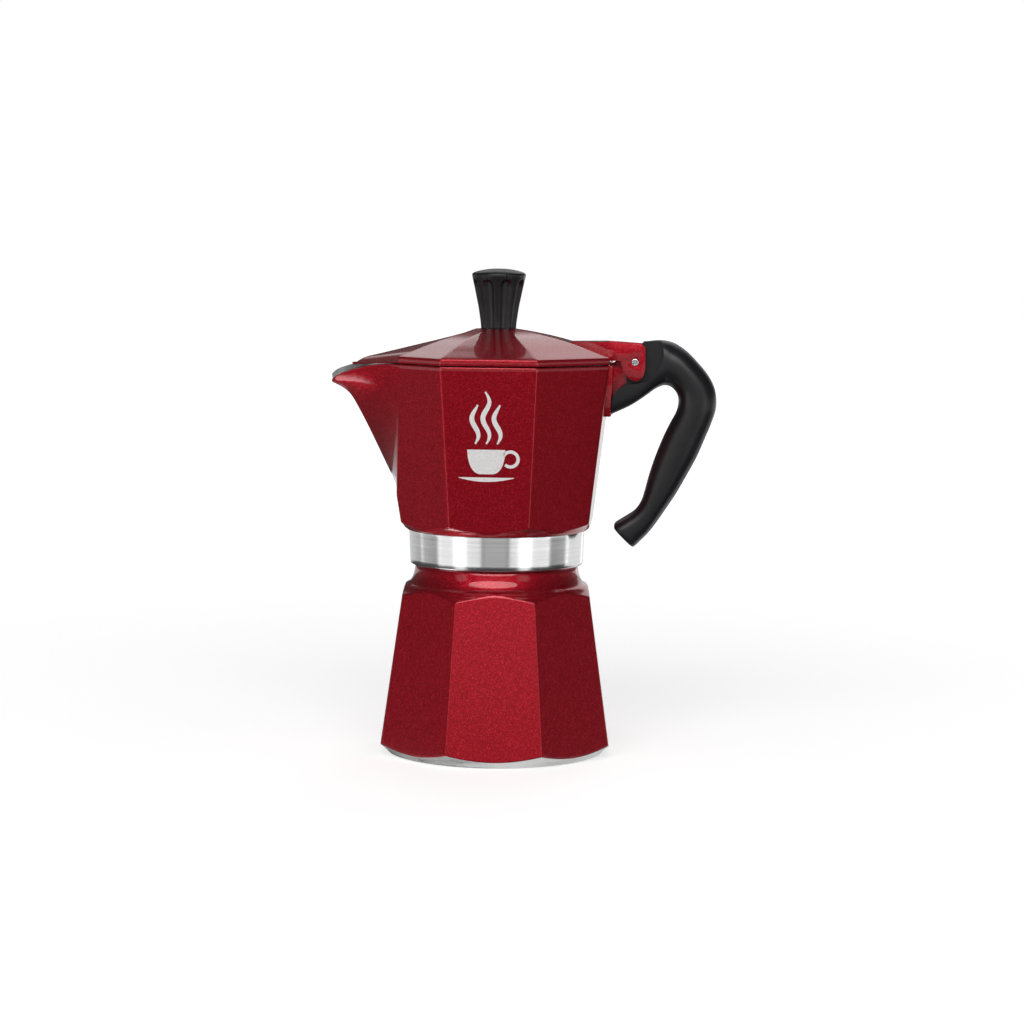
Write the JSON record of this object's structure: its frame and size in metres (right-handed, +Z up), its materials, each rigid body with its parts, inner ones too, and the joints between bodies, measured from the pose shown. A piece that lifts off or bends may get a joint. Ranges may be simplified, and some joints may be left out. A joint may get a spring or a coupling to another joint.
{
  "type": "moka pot",
  "caption": "Stove-top moka pot: faceted red boiler screwed under a spouted upper chamber, with funnel, gasket, filter, column, hinged lid, knob and curved black handle.",
  "frame": {"origin": "centre of the boiler's flat underside", "axes": "+Z up the pot's axis, +X towards the handle, spout towards -X"},
  "size_m": [0.1743, 0.1073, 0.2179],
  "materials": {
    "red_enamel": "gloss red enamel with fine metallic flake over cast aluminium; inner faces bare",
    "bare_aluminium": "satin bare aluminium",
    "steel": "smooth bright steel",
    "brass": "machined brass",
    "black_plastic": "moulded black plastic, satin",
    "silicone": "soft off-white silicone rubber"
  },
  "bodies": {
    "boiler_body": {"boiler": "red_enamel", "safety_valve_body": "brass", "safety_valve_washer": "steel", "safety_valve_retainer": "brass", "safety_valve_spring": "steel"},
    "valve_plunger": {"safety_valve_piston": "steel", "safety_valve_seal": "silicone"},
    "funnel_body": {"funnel": "bare_aluminium", "funnel_filter": "bare_aluminium"},
    "upper_body": {"collector": "red_enamel", "coffee_column": "bare_aluminium", "gasket": "silicone", "filter_plate": "bare_aluminium", "handle": "black_plastic", "hinge_pin": "steel"},
    "lid_body": {"lid": "red_enamel", "knob": "black_plastic", "knob_screw": "steel", "knob_washer": "steel"}
  },
  "joints": [
    {"name": "valve_lift", "type": "slide", "parent": "boiler_body", "child": "valve_plunger", "axis": [-0.0732, 0.9973, 0], "range_m": [0, 0.002], "stiffness_N_per_m": 900, "springref_m": -0.003, "deforming": ["safety_valve_spring"]},
    {"name": "upper_turn", "type": "hinge", "parent": "boiler_body", "child": "funnel_body", "pos_m": [0, 0, 0.0976], "axis": [0, 0, 1], "range_deg": [0, 1080]},
    {"name": "upper_rise", "type": "slide", "parent": "funnel_body", "child": "upper_body", "axis": [0, 0, 1], "range_m": [0, 0.0091]},
    {"name": "lid_hinge", "type": "hinge", "parent": "upper_body", "child": "lid_body", "pos_m": [0.0618, 0, 0.177], "axis": [0, 1, 0], "range_deg": [0, 100]}
  ],
  "couplings": [
    {"joint": "upper_rise", "follows": "upper_turn", "m_per_rad": 0.00047746}
  ]
}
